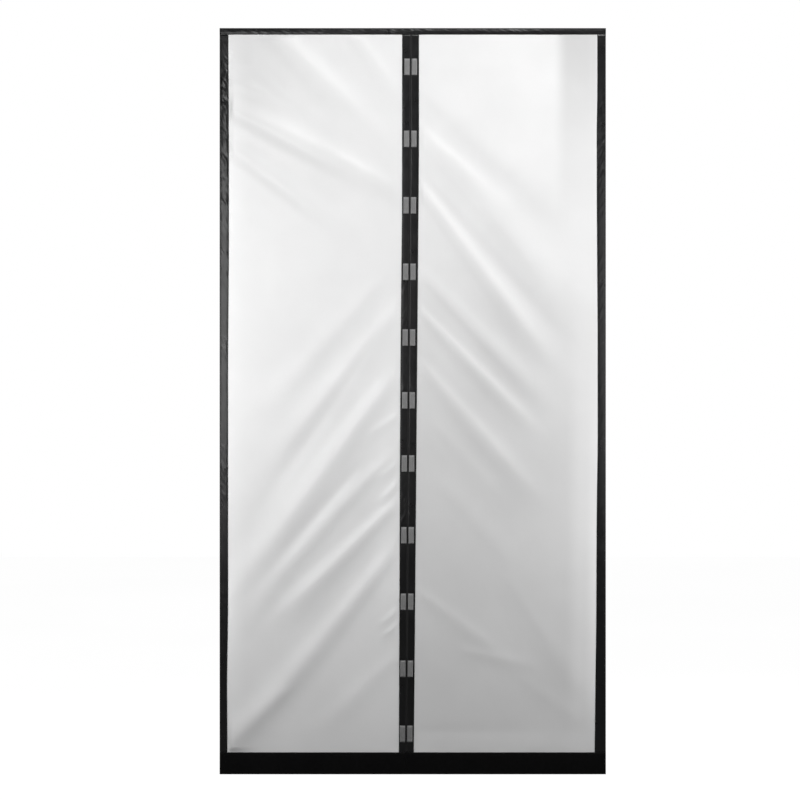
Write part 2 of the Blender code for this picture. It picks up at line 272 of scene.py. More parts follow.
class CurtainSizes(bpy.types.PropertyGroup):
    film_thickness: amount("Film thickness", "Thickness of the frosted film", 0.0004, 0.0001)
    film_cell: amount("Film cell", "Size of the cells that the film is modelled with", 0.0055, 0.003)
    fold_height: amount("Fold height", "How far forward an ordinary fold in the film stands", 0.008)
    fold_width: amount("Fold width", "Half width of an ordinary fold in the film", 0.038, 0.005)
    film_pucker: amount("Film pucker", "Height of the small puckers along the film's sewn edges", 0.00055)
    film_crumple: amount("Film crumple", "Height of the shallow crumples all over the film", 0.0005)
    tape_cloth: amount("Tape cloth", "Thickness of the binding tape and hem cloth", 0.0005, 0.0001)
    tape_crown: amount("Tape crown", "How far a tape stands forward between its stitch rows", 0.00028)
    cloth_cell: amount("Cloth cell", "Size of the cells that tapes and hems are modelled with along them",
                       0.0036, 0.002)
    hem_wave: amount("Hem wave", "Height of the slow waves in the hem bands", 0.0006)
    pocket_cloth: amount("Pocket cloth", "Thickness of the magnet pocket cloth", 0.0004, 0.0001)
    stitch_pitch: amount("Stitch pitch", "Distance from one stitch to the next", 0.0032, 0.001)
    thread: amount("Thread", "Thickness of the sewing thread", 0.00042, 0.0001)
    adhesive: amount("Adhesive", "Thickness of the hook strips' adhesive layer", 0.0002, 0.0001)
    hook_row: amount("Hook row", "Distance from one row of hooks to the next", 0.0016, 0.0008)
    floor_gap: amount("Floor gap", "How far the curtain's foot hangs above the floor", 0.020)


class CurtainColours(bpy.types.PropertyGroup):
    film: colour("Film", "Frosted film", 0.85, 0.85, 0.85)
    tape: colour("Tape", "Binding tape", 0.0036, 0.0036, 0.0039)
    hem: colour("Hem", "Hem band cloth", 0.0016, 0.0016, 0.0018)
    pocket: colour("Pocket", "Magnet pocket cloth", 0.23, 0.23, 0.23)
    pocket_thread: colour("Pocket thread", "Thread that the pockets are sewn on with", 0.34, 0.34, 0.34)
    thread: colour("Thread", "Thread of the tapes and hems", 0.006, 0.006, 0.0065)
    magnet: colour("Magnet", "Sintered ferrite", 0.055, 0.055, 0.060)
    loop: colour("Loop pile", "Soft side of the fastening", 0.009, 0.009, 0.010)
    hook: colour("Hook strip", "Moulded side of the fastening", 0.014, 0.014, 0.015)
    adhesive: colour("Adhesive", "Adhesive on the back of the hook strips", 0.055, 0.056, 0.060)


class CurtainStudio(bpy.types.PropertyGroup):
    lens: amount("Lens", "Focal length of the camera", 0.1, 0.02, "CAMERA")
    view_width: amount("View width", "Width of the picture at the curtain's front", 2.2618, 0.5)
    front_fill: amount("Front fill", "Brightness of the room in front", 0.05, unit="NONE")
    rear_fill: amount("Rear fill", "Brightness of the room behind", 0.75, unit="NONE")
    floor_glow: amount("Floor glow", "How white the floor looks to the camera", 0.93, unit="NONE", max=1)


# Shader nodes


def add(tree, kind, inputs=None, **settings):
    """A new node with its own settings, its inputs set to values or linked from sockets."""
    node = tree.nodes.new(kind)
    node.location = (190 * len(tree.nodes), 0)
    for name, value in settings.items():
        setattr(node, name, value)
    for name, value in (inputs or {}).items():
        if isinstance(value, bpy.types.NodeSocket):
            tree.links.new(value, node.inputs[name])
        else:
            node.inputs[name].default_value = value
    return node


def math_node(tree, operation, a, b=0.0):
    return add(tree, "ShaderNodeMath", {0: a, 1: b}, operation=operation).outputs[0]


def mix_colours(tree, share, a, b, most=1.0):
    """Colour b over colour a by a mask, and never more of it than most."""
    if most < 1:
        share = math_node(tree, "MULTIPLY", share, most)
    return add(tree, "ShaderNodeMix", {0: share, 6: a, 7: b}, data_type="RGBA").outputs[2]


def between(tree, value, low, high, start=0.0, end=1.0, kind="LINEAR"):
    """A value from start to end spread over the range from low to high."""
    inputs = {"Value": value, "From Min": start, "From Max": end, "To Min": low, "To Max": high}
    return add(tree, "ShaderNodeMapRange", inputs, interpolation_type=kind).outputs[0]


def bump(tree, height, distance, strength=1.0, normal=None):
    inputs = {"Height": height, "Distance": distance, "Strength": strength}
    if normal is not None:
        inputs["Normal"] = normal
    return add(tree, "ShaderNodeBump", inputs).outputs["Normal"]


def group_tree(name, inputs, outputs):
    """An empty shader node group with those sockets, and its input and output nodes."""
    tree = bpy.data.node_groups.new(name, "ShaderNodeTree")
    for socket, kind, value in inputs:
        made = tree.interface.new_socket(socket, in_out="INPUT", socket_type=kind)
        if value is not None:
            made.default_value = value
    for socket in outputs:
        tree.interface.new_socket(socket, in_out="OUTPUT", socket_type="NodeSocketFloat")
    return tree, tree.nodes.new("NodeGroupInput").outputs, tree.nodes.new("NodeGroupOutput")


def weave_group():
    """Plain weave: the height of the threads, and a mask of the gaps between them."""
    tree, given, out = group_tree(
        "Weave",
        (("Vector", "NodeSocketVector", None), ("Thread Pitch", "NodeSocketFloat", 0.0006)),
        ("Height", "Gap"),
    )
    per_thread = math_node(tree, "DIVIDE", math.pi, given["Thread Pitch"])
    scaled = add(tree, "ShaderNodeVectorMath", {0: given["Vector"], "Scale": per_thread}, operation="SCALE")
    split = add(tree, "ShaderNodeSeparateXYZ", {0: scaled.outputs[0]}).outputs
    warp, weft = (math_node(tree, "SINE", split[axis]) for axis in (0, 1))
    over = math_node(tree, "GREATER_THAN", math_node(tree, "MULTIPLY", warp, weft))
    warp, weft = (math_node(tree, "ABSOLUTE", thread) for thread in (warp, weft))
    top = add(tree, "ShaderNodeMix", {0: over, 2: warp, 3: weft}, data_type="FLOAT").outputs[0]
    under = math_node(tree, "MULTIPLY", warp, weft)
    height = math_node(tree, "MULTIPLY", top, between(tree, under, 0.75, 1.0))
    tree.links.new(height, out.inputs["Height"])
    tree.links.new(between(tree, top, 1.0, 0.0, end=0.45), out.inputs["Gap"])
    return tree


def mottle_group():
    """Soft uneven patches with finer speckle in them, from 0 to 1, about one patch to each size."""
    tree, given, out = group_tree(
        "Mottle",
        (("Vector", "NodeSocketVector", None), ("Size", "NodeSocketFloat", 0.1),
         ("Detail", "NodeSocketFloat", 3.0)),
        ("Patches", "Speckle"),
    )
    scale = math_node(tree, "DIVIDE", 1.0, given["Size"])
    patches = add(tree, "ShaderNodeTexNoise", {"Vector": given["Vector"], "Scale": scale,
                                               "Detail": given["Detail"], "Roughness": 0.55})
    spread = between(tree, patches.outputs[0], 0.0, 1.0, 0.3, 0.7, "SMOOTHSTEP")
    tree.links.new(spread, out.inputs["Patches"])
    fine = math_node(tree, "MULTIPLY", scale, 9.0)
    speckle = add(tree, "ShaderNodeTexNoise", {"Vector": given["Vector"], "Scale": fine, "Detail": 2.0})
    tree.links.new(between(tree, speckle.outputs[0], 0.0, 1.0, 0.35, 0.65), out.inputs["Speckle"])
    return tree


def weave(tree, where, pitch):
    """A node of the weave group, which is built the first time it is asked for."""
    shared = bpy.data.node_groups.get("Weave") or weave_group()
    return add(tree, "ShaderNodeGroup", {"Vector": where, "Thread Pitch": pitch}, node_tree=shared).outputs


def mottle(tree, where, size, detail):
    """A node of the mottle group, which is built the first time it is asked for."""
    shared = bpy.data.node_groups.get("Mottle") or mottle_group()
    inputs = {"Vector": where, "Size": size, "Detail": detail}
    return add(tree, "ShaderNodeGroup", inputs, node_tree=shared).outputs


def attribute(tree, name):
    return add(tree, "ShaderNodeAttribute", attribute_name=name).outputs["Fac"]


def seen(tree, behind):
    """1 for rays from the camera or through clear things, and for glossy ones towards what lies behind."""
    rays = add(tree, "ShaderNodeLightPath").outputs
    mirrored = math_node(tree, "MULTIPLY", rays["Is Glossy Ray"], behind)
    straight = math_node(tree, "MAXIMUM", rays["Is Camera Ray"], rays["Is Transmission Ray"])
    return math_node(tree, "MAXIMUM", straight, mirrored)


def shades(value, *factors):
    """The colour times each factor."""
    return [(*(part * factor for part in value[:3]), 1) for factor in factors]


def film_look(tree, where, shade):
    """Frosted film: a soft satin face with a fine embossed grain, slow crinkles, slight cloudiness and
    painted light and shade.
    """
    cloud, haze = mottle(tree, where, 0.19, 2.0), mottle(tree, where, 0.035, 4.0)
    dark, light = shades(shade, 0.975, 1.015)
    base = mix_colours(tree, cloud["Patches"], dark, light)
    base = mix_colours(tree, haze["Speckle"], base, dark, 0.3)
    # Painted light and shade: the leaf's painted factor makes the film's colour paler or darker
    paler = math_node(tree, "ADD", attribute(tree, "cloud"), 1.0)
    base = add(tree, "ShaderNodeVectorMath", {0: base, "Scale": paler}, operation="SCALE").outputs[0]
    stretch = add(tree, "ShaderNodeMapping", {"Vector": where, "Rotation": (0, 0.6, 0),
                                              "Scale": (34, 34, 13)}).outputs[0]
    crinkle = add(tree, "ShaderNodeTexNoise", {"Vector": stretch, "Scale": 1.0, "Detail": 2.5,
                                               "Distortion": 0.6}).outputs[0]
    grain = add(tree, "ShaderNodeTexVoronoi", {"Vector": where, "Scale": 1300.0},
                feature="SMOOTH_F1").outputs["Distance"]
    normal = bump(tree, grain, 0.00006, 0.5, bump(tree, crinkle, 0.0006, 0.35))
    return base, between(tree, haze["Patches"], 0.34, 0.43), normal


def tape_look(tree, where, shade):
    """Woven satin binding tape: fine ribs, a little lint, and duller along its folded edge."""
    cloth, lint = weave(tree, where, 0.00055), mottle(tree, where, 0.05, 3.0)
    gap, yarn, worn = shades(shade, 0.55, 1.0, 1.7)
    base = mix_colours(tree, cloth["Gap"], yarn, gap)
    base = mix_colours(tree, lint["Speckle"], base, worn, 0.35)
    dull = math_node(tree, "MULTIPLY", attribute(tree, "creased"), 0.60)
    rough = math_node(tree, "ADD", between(tree, lint["Patches"], 0.27, 0.33), dull)
    return base, rough, bump(tree, cloth["Height"], 0.00002, 0.5)


def hem_look(tree, where, shade):
    """Matt canvas of the hem bands: a coarser weave that hardly shines."""
    cloth, lint = weave(tree, where, 0.0009), mottle(tree, where, 0.08, 4.0)
    gap, yarn, worn = shades(shade, 0.5, 1.0, 2.2)
    base = mix_colours(tree, cloth["Gap"], yarn, gap)
    base = mix_colours(tree, lint["Speckle"], base, worn, 0.4)
    return base, between(tree, lint["Patches"], 0.68, 0.80), bump(tree, cloth["Height"], 0.00014, 0.7)


def pocket_look(tree, where, shade):
    """Grey pocket cloth, woven from lighter and darker yarns, with a painted highlight along the ridges over
    the magnet's edges.
    """
    cloth, fibre = weave(tree, where, 0.0007), mottle(tree, where, 0.012, 4.0)
    gap, dark, light, rubbed = shades(shade, 0.45, 0.88, 1.08, 1.35)
    base = mix_colours(tree, fibre["Patches"], dark, light)
    base = mix_colours(tree, cloth["Gap"], base, gap, 0.7)
    # Painted highlight: the cloth is paler along the ridges over the magnet's edges
    base = mix_colours(tree, attribute(tree, "rubbed"), base, rubbed, 0.55)
    return base, between(tree, fibre["Speckle"], 0.62, 0.78), bump(tree, cloth["Height"], 0.00010, 0.8)


def thread_look(tree, where, shade):
    """Spun thread: a slanting twist with paler flecks."""
    twist = add(tree, "ShaderNodeTexWave", {"Vector": where, "Scale": 420.0, "Distortion": 1.5,
                                            "Detail": 1.0}, bands_direction="DIAGONAL").outputs["Fac"]
    base = mix_colours(tree, mottle(tree, where, 0.004, 2.0)["Patches"], *shades(shade, 0.7, 1.25))
    return base, between(tree, twist, 0.45, 0.65), bump(tree, twist, 0.00005, 0.6)


def magnet_look(tree, where, shade):
    """Sintered ferrite: dark grey, faintly grainy, with duller chalky patches from the press."""
    press = mottle(tree, where, 0.006, 4.0)
    base = mix_colours(tree, press["Patches"], *shades(shade, 0.75, 1.4))
    return (base, between(tree, press["Speckle"], 0.38, 0.62), bump(tree, press["Speckle"], 0.00003, 0.5),
            {"Metallic": between(tree, press["Patches"], 0.15, 0.35)})


def loop_look(tree, where, shade):
    """Looped pile: a soft tangle of fibre ends over a dark ground."""
    tangle = add(tree, "ShaderNodeTexVoronoi", {"Vector": where, "Scale": 1500.0},
                 feature="F2").outputs["Distance"]
    tufts = mottle(tree, where, 0.004, 4.0)
    base = mix_colours(tree, tufts["Speckle"], *shades(shade, 0.5, 1.8))
    return base, between(tree, tufts["Patches"], 0.85, 0.98), bump(tree, tangle, 0.0003, 0.8)


def hook_look(tree, where, shade):
    """Moulded hook strip: rows of small hooks cut across, slightly glossy."""
    rows = add(tree, "ShaderNodeTexWave", {"Vector": where, "Scale": 180.0, "Distortion": 0.2},
               bands_direction="Z").outputs["Fac"]
    scuffs = mottle(tree, where, 0.02, 3.0)
    base = mix_colours(tree, scuffs["Patches"], *shades(shade, 0.8, 1.5))
    return base, between(tree, scuffs["Speckle"], 0.38, 0.55), bump(tree, rows, 0.0003, 0.8)


def adhesive_look(tree, where, shade):
    """Clear adhesive over a dark carrier: glossy, with cloudy patches, small bubbles and coating lines."""
    cloud = mottle(tree, where, 0.05, 4.0)
    base = mix_colours(tree, cloud["Patches"], *shades(shade, 0.75, 1.2))
    stretch = add(tree, "ShaderNodeMapping", {"Vector": where, "Scale": (700, 1, 12)}).outputs[0]
    lines = add(tree, "ShaderNodeTexNoise", {"Vector": stretch, "Detail": 2.0}).outputs[0]
    return (base, between(tree, cloud["Speckle"], 0.30, 0.50), bump(tree, lines, 0.00008, 0.5),
            {"Coat Weight": between(tree, cloud["Patches"], 0.25, 0.45)})


# Material: what gives its colour, roughness and normal, the colour setting that it starts from, its
# coordinates, and its surface's specular level and other constants
MATERIALS = {
    "frosted_film": (film_look, "film", "Object", 0.5, {"Sheen Weight": 0.02}),
    "binding_tape": (tape_look, "tape", "UV", 0.5, {}),
    "hem_canvas": (hem_look, "hem", "UV", 0.11, {}),
    "pocket_cloth": (pocket_look, "pocket", "UV", 0.3, {"Sheen Weight": 0.08, "Sheen Roughness": 0.6}),
    "pocket_thread": (thread_look, "pocket_thread", "Object", 0.4, {}),
    "sewing_thread": (thread_look, "thread", "Object", 0.4, {}),
    "ferrite": (magnet_look, "magnet", "Object", 0.6, {}),
    "loop_pile": (loop_look, "loop", "Object", 0.25, {"Sheen Weight": 0.25, "Sheen Roughness": 0.7}),
    "hook_plastic": (hook_look, "hook", "Object", 0.5, {}),
    "adhesive": (adhesive_look, "adhesive", "Object", 0.5, {"Coat Roughness": 0.18}),
}


def material(name):
    """The material of that name, which is built the first time it is asked for."""
    if name in bpy.data.materials:
        return bpy.data.materials[name]
    look, setting, coordinates, specular, constants = MATERIALS[name]
    made = bpy.data.materials.new(name)
    made.use_nodes = True
    tree = made.node_tree
    surface = tree.nodes["Principled BSDF"]
    for socket, value in {"Specular IOR Level": specular, **constants}.items():
        surface.inputs[socket].default_value = value
    where = add(tree, "ShaderNodeTexCoord").outputs[coordinates]
    shade = getattr(bpy.context.scene.curtain_colours, setting)
    base, rough, normal, *more = look(tree, where, shade)
    sockets = {"Base Color": base, "Roughness": rough, "Normal": normal, **(more[0] if more else {})}
    for socket, value in sockets.items():
        tree.links.new(value, surface.inputs[socket])
    return made


# Modelling


def ease(share):
    """0 below 0, 1 above 1, and a smooth rise between, for numbers or arrays."""
    share = np.clip(share, 0, 1)
    return share * share * (3 - 2 * share)


def finish_piece(name, bm, materials, smooth=True):
    """A piece of the object from a bmesh: linked, given its materials and riding on the curtain."""
    mesh = bpy.data.meshes.new(name)
    bm.to_mesh(mesh)
    bm.free()
    for kind in materials:
        mesh.materials.append(material(kind))
    if smooth:
        mesh.shade_smooth()
        mesh.set_sharp_from_angle(angle=math.radians(50))
    piece = bpy.data.objects.new(name, mesh)
    bpy.context.scene.collection.objects.link(piece)
    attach(piece, BODY)
    return piece


def cloth_grid(columns, rows, place, size, creased=None):
    """A bmesh grid whose points lie where place says, given their column, and share from the first row to
    the last. Its UV map holds the cloth's own lengths, across and along, when it lay flat, and creased says
    how sharply the cloth is folded at each column."""
    bm = bmesh.new()
    bm.loops.layers.uv.new("cloth")
    crease = bm.verts.layers.float.new("creased")
    bmesh.ops.create_grid(bm, x_segments=columns, y_segments=rows, size=0.5, calc_uvs=True)
    bm.verts.ensure_lookup_table()
    flat = np.array([v.co for v in bm.verts])
    column = np.rint((flat[:, 0] + 0.5) * columns).astype(int)
    points = place(column, 0.5 - flat[:, 1])
    for vertex, point in zip(bm.verts, points.tolist()):
        vertex.co = point
    if creased is not None:
        for vertex, amount in zip(bm.verts, creased[column].tolist()):
            vertex[crease] = amount
    uv = bm.loops.layers.uv["cloth"]
    for face in bm.faces:
        for corner in face.loops:
            corner[uv].uv = (corner[uv].uv.x * size[0], (1 - corner[uv].uv.y) * size[1])
    return bm


def thicken(piece, thickness):
    """Gives a sheet its thickness, inwards from its outer face."""
    shell = piece.modifiers.new("Thickness", "SOLIDIFY")
    shell.thickness = thickness
    shell.offset = -1
    return piece


def level_at(points, share):
    """A smooth value at each share down, from a few (share, value) points."""
    shares, values = zip(*points)
    spread = np.linspace(0, 1, 201)
    line = np.interp(spread, shares, values)
    soft = np.convolve(np.pad(line, 8, mode="edge"), np.hanning(19)[1:-1] / np.hanning(19).sum(), "valid")
    return np.interp(share, spread, soft)


def drift(points, seed):
    """Smooth noise from -1 to 1 at an array of points."""
    return np.array([noise.noise((*point, seed)) for point in points])


def upright_ends(node):
    """For an upright node, (lowest x, highest x, z) at its top and at its foot."""
    points = np.array([v.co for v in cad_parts[node].data.vertices])
    found = []
    for z in (points[:, 2].max(), points[:, 2].min()):
        row = points[abs(points[:, 2] - z) < 0.0002, 0]
        found.append((row.min(), row.max(), z))
    return found


def wander(node, height):
    """How much wider than true an upright tape was sewn at each height."""
    (_, _, top), (_, _, foot) = upright_ends(node)
    return level_at(TAPE_WANDER[node], (top - height) / (top - foot))


def tape_edges(node, height):
    """Where the folded and the raw edge of an upright tape run at each height, as it was sewn."""
    (top_low, top_high, top), (foot_low, foot_high, foot) = upright_ends(node)
    down = (top - height) / (top - foot)
    low, high = top_low + (foot_low - top_low) * down, top_high + (foot_high - top_high) * down
    folded, raw = (high, low) if node in ("right_edge_tape", "left_seam_tape") else (low, high)
    inward = np.sign(raw - folded)
    if "seam" in node:
        folded = folded - inward * seam_closing()
    return folded, raw + inward * wander(node, height)


def seam_closing():
    """How far the magnets draw each seam tape towards the other, until their folded edges press together."""
    (_, left_high, _), _ = upright_ends("left_seam_tape")
    (right_low, _, _), _ = upright_ends("right_seam_tape")
    return (right_low - left_high) / 2 + PRESS


def seam_lean():
    """How far from upright the seam leans, as an angle."""
    top, foot = upright_ends("left_seam_tape")
    return math.atan2(top[1] - foot[1], top[2] - foot[2])


def pocket_place(side_name, number):
    """From a pocket's own middle and back to its place on the tape."""
    low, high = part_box(f"{side_name}_magnet_pocket_{number}")
    x, _, z = (low + high) / 2
    return Matrix.Translation((x, high.y, z)) @ Euler((0, seam_lean(), 0)).to_matrix().to_4x4()


def folded_section(width):
    """Stations round a folded cloth from its back raw edge to its front one: run along the cloth, distance
    from the folded edge, and how far forward of the middle."""
    flat = np.linspace(width, BEND, LAYER_CELLS + 1)
    turn = np.linspace(0.5, 1.5, BEND_CELLS + 1)[1:-1] * math.pi
    distance = np.concatenate((flat, BEND + BEND * np.cos(turn), flat[::-1]))
    forward = np.concatenate((0 * flat - BEND, -BEND * np.sin(turn), 0 * flat + BEND))
    run = np.concatenate(((0,), np.cumsum(np.hypot(np.diff(distance), np.diff(forward)))))
    return run, distance, forward


def folded_cloth(name, fold, raw, bulge, kind, widen=None):
    """A strip of cloth folded in half over the film. fold and raw are the ends (x, z) of its folded and raw
    edges, bulge says how far its front stands out, and widen how much wider it is, along it."""
    sizes = bpy.context.scene.curtain_sizes
    fold, raw = np.array(fold, float), np.array(raw, float)
    inward, along = raw[0] - fold[0], fold[1] - fold[0]
    if inward[0] * along[1] - inward[1] * along[0] > 0:
        fold, raw = fold[::-1], raw[::-1]
    width = np.linalg.norm(raw[0] - fold[0])
    cloth_length = np.linalg.norm(fold[1] - fold[0])
    run, distance, forward = folded_section(width)

    def place(column, down):
        across = fold[0] + (fold[1] - fold[0]) * down[:, None]
        inner = raw[0] + (raw[1] - raw[0]) * down[:, None]
        if widen:
            inner = inner + (inner - across) / width * widen(across[:, 1])[:, None]
        spot = across + (inner - across) * (distance[column] / width)[:, None]
        front = np.where(forward[column] > BEND * 0.999, bulge(distance[column], spot), 0)
        return np.column_stack((spot[:, 0], TAPE_MIDDLE - forward[column] - front, spot[:, 1]))

    rows = round(cloth_length / sizes.cloth_cell)
    creased = (distance < BEND * 1.01).astype(float)
    bm = cloth_grid(len(run) - 1, rows, place, (run[-1], cloth_length), creased)
    piece = finish_piece(name, bm, (kind,))
    thicken(piece, sizes.tape_cloth)
    return piece


def sewn_down(distance, rows, grip):
    """How freely cloth stands out beside the stitch rows that hold it down: 1 well away from them."""
    hold, reach = grip
    return np.prod([1 - hold * np.exp(-(((distance - row) / reach) ** 2)) for row in rows], axis=0)


def tape_bulge(node, width, rows, top, foot, flat_spots=()):
    """How far a tape's front stands out: a low crown between its stitch rows, and puckers here and there."""
    crown = bpy.context.scene.curtain_sizes.tape_crown
    seed = -1 if node.startswith("right") else 1

    def bulge(from_fold, spot):
        along = -spot[:, 0] if node == "header_tape" else spot[:, 1]
        down = (top - along) / (top - foot)
        held = ease((from_fold - BEND) / 0.003) * ease((width - from_fold) / 0.002)
        held = held * sewn_down(from_fold, rows, TAPE_GRIP)
        slant = np.column_stack(((1.6 * from_fold + along) * 66, (from_fold - 1.6 * along) * 12))
        close = np.column_stack(((1.3 * from_fold + along) * 120, (from_fold - along) * 30))
        pucker = np.full(len(down), LEAST_PUCKER)
        for middle, half, height in TAPE_PUCKERS[node]:
            pucker = pucker + height * np.exp(-(((down - middle) / half) ** 2))
        ripple, finer = np.maximum(drift(slant, seed), -0.3), drift(close, seed + 3)
        rise = crown + pucker * (0.35 + ripple + 0.7 * finer)
        for low, high in flat_spots:
            rise = rise * (1 - ease((along - low) / 0.006 + 1) * ease((high - along) / 0.006 + 1))
        return np.clip(held * rise, 0, TAPE_PROUD)

    return bulge


def stitch(bm, place, along, thread, stretch):
    """One stitch: a spindle of thread that dips into the cloth at both ends."""
    made = bmesh.ops.create_icosphere(bm, subdivisions=1, radius=0.5)["verts"]
    bmesh.ops.scale(bm, vec=(thread, thread * 0.8, stretch), verts=made)
    turn = Vector((0, 0, 1)).rotation_difference(along).to_matrix()
    bmesh.ops.rotate(bm, matrix=turn, verts=made)
    bmesh.ops.translate(bm, vec=place, verts=made)
    return made


def stitch_row(bm, start, end, sizes, follow=None):
    """A row of stitches from start to end. follow says how far the row strays sideways at each height."""
    start, end = Vector(start), Vector(end)
    run, along = (end - start).length, (end - start).normalized()
    count = max(1, int(run / sizes.stitch_pitch))
    step = (end - start) / count
    row = stitch(bm, start + step / 2, along, sizes.thread, run / count * 0.86)
    pieces = list({part for v in row for part in (v, *v.link_edges, *v.link_faces)})
    made = 1
    while made < count:
        copy = bmesh.ops.duplicate(bm, geom=pieces)["geom"]
        copied = [item for item in copy if isinstance(item, bmesh.types.BMVert)]
        bmesh.ops.translate(bm, vec=step * made, verts=copied)
        pieces += copy
        row += copied
        made *= 2
    bmesh.ops.delete(bm, geom=[v for v in row if (v.co - start).dot(along) > run], context="VERTS")
    row = [v for v in row if v.is_valid]
    if follow:
        for v, stray in zip(row, follow(np.array([v.co.z for v in row]))):
            v.co.x += stray


def slab(bm, low, high, edge):
    """A long flat slab between two corners, with its edges broken: its faces."""
    made = bmesh.ops.create_cube(bm, size=1)["verts"]
    bmesh.ops.scale(bm, vec=high - low, verts=made)
    bmesh.ops.translate(bm, vec=(low + high) / 2, verts=made)
    edges = list({side for v in made for side in v.link_edges})
    cut = bmesh.ops.bevel(bm, geom=edges, offset=edge, segments=2, profile=0.5, affect="EDGES", material=-1)
    return cut["faces"]


def fold_rise(folds, pane, x, z):
    """How far a leaf's folds stand forward at arrays of points. pane is (left, right, top, foot)."""
    sizes = bpy.context.scene.curtain_sizes
    left, right, top, foot = pane
    rise = np.zeros(len(x))
    for start, end, tall, above, below, *sag in folds:
        (x0, z0), (x1, z1) = (
            (left + (right - left) * across, top + (foot - top) * down) for across, down in (start, end)
        )
        run = math.copysign(math.hypot(x1 - x0, z1 - z0), x1 - x0)
        share = ((x - x0) * (x1 - x0) + (z - z0) * (z1 - z0)) / run**2
        under = ((x - x0) * (z1 - z0) - (z - z0) * (x1 - x0)) / run
        under -= sum(sag) * abs(run) * 4 * share * (1 - share)
        spread = np.interp(share, (0, 1), FOLD_GROWTH)
        half = np.where(under < 0, above, below) * sizes.fold_width * spread
        ends = ease(share / FOLD_ENDS[0]) * ease((1 - share) / FOLD_ENDS[1])
        rise += tall * sizes.fold_height * spread * ends * np.exp(-((under / half) ** 2))
    return rise


# Operators


class CURTAIN_OT_tapes(bpy.types.Operator):
    """Add the header, edge and seam tapes, folded over the film and sewn through"""

    bl_idname = "curtain.tapes"
    bl_label = "Tapes"
    bl_options = {"REGISTER", "UNDO"}

    def execute(self, context):
        low, high = HEADER_LOW, HEADER_HIGH
        width = high.z - low.z
        header = folded_cloth(
            "header_binding",
            ((low.x, high.z), (high.x, high.z)),
            ((low.x, low.z), (high.x, low.z)),
            tape_bulge("header_tape", width, (BEND + ROW_INSET, width - ROW_INSET), -low.x, -high.x),
            "binding_tape",
        )
        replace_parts(header, "header_tape")
        for side_name in SIDES:
            for kind in ("edge", "seam"):
                self.upright(side_name, kind)
        return {"FINISHED"}

    def upright(self, side_name, kind):
        """The edge or seam tape of one leaf."""
        node = f"{side_name}_{kind}_tape"
        (_, _, top), (_, _, foot) = upright_ends(node)
        ends = np.array((top, foot))
        fold, raw = tape_edges(node, ends)
        raw = raw - np.sign(raw - fold) * wander(node, ends)
        width = abs(raw[0] - fold[0])
        if kind == "seam":
            rows = (width - ROW_INSET,)
            middles = [pocket_place(side_name, number).translation.z for number in NUMBERS]
            flat = [(middle - POCKET_SEAT, middle + POCKET_SEAT) for middle in middles]
        else:
            rows, flat = (BEND + ROW_INSET, width - ROW_INSET), ()
        tape = folded_cloth(
            f"{side_name}_{kind}_binding",
            tuple(zip(fold, (top, foot))),
            tuple(zip(raw, (top, foot))),
            tape_bulge(node, width, rows, top, foot, flat),
            "binding_tape",
            lambda height: wander(node, height),
        )
        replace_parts(tape, node)


class CURTAIN_OT_hems(bpy.types.Operator):
    """Add the deep hem bands at the foot of the leaves"""

    bl_idname = "curtain.hems"
    bl_label = "Hem bands"
    bl_options = {"REGISTER", "UNDO"}

    def execute(self, context):
        wave = context.scene.curtain_sizes.hem_wave
        for side_name, side in SIDES.items():
            node = f"{side_name}_hem_band"
            (low, high, top), _ = upright_ends(node)
            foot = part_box(node)[0].z
            outer, inner = (low, high) if side_name == "left" else (high, low)
            inner -= side * seam_closing()
            lean = math.tan(seam_lean()) * (top - foot)
            hem = folded_cloth(
                f"{side_name}_hem",
                ((outer, foot), (inner - lean, foot)),
                ((outer, top), (inner, top)),
                self.bulge(top - foot, wave, side),
                "hem_canvas",
            )
            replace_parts(hem, node)
        return {"FINISHED"}

    def bulge(self, width, wave, seed):
        """Slow waves between the stitch rows and the foot, and small puckers at the rows."""

        def rise(from_fold, spot):
            from_raw = width - from_fold
            held = ease((from_fold - BEND) / 0.006) * ease(from_raw / 0.003)
            held = held * sewn_down(from_raw, HEM_ROWS, HEM_GRIP)
            slow = drift(np.column_stack((spot[:, 0] * 11, spot[:, 1] * 14)), seed)
            close = drift(np.column_stack((spot[:, 0] * 85, spot[:, 1] * 22)), seed + 5)
            puckers = HEM_PUCKER * np.exp(-((from_raw / 0.02) ** 2)) * (0.4 + close)
            return np.clip(held * (wave * (0.5 + slow) + puckers), 0, HEM_PROUD)

        return rise


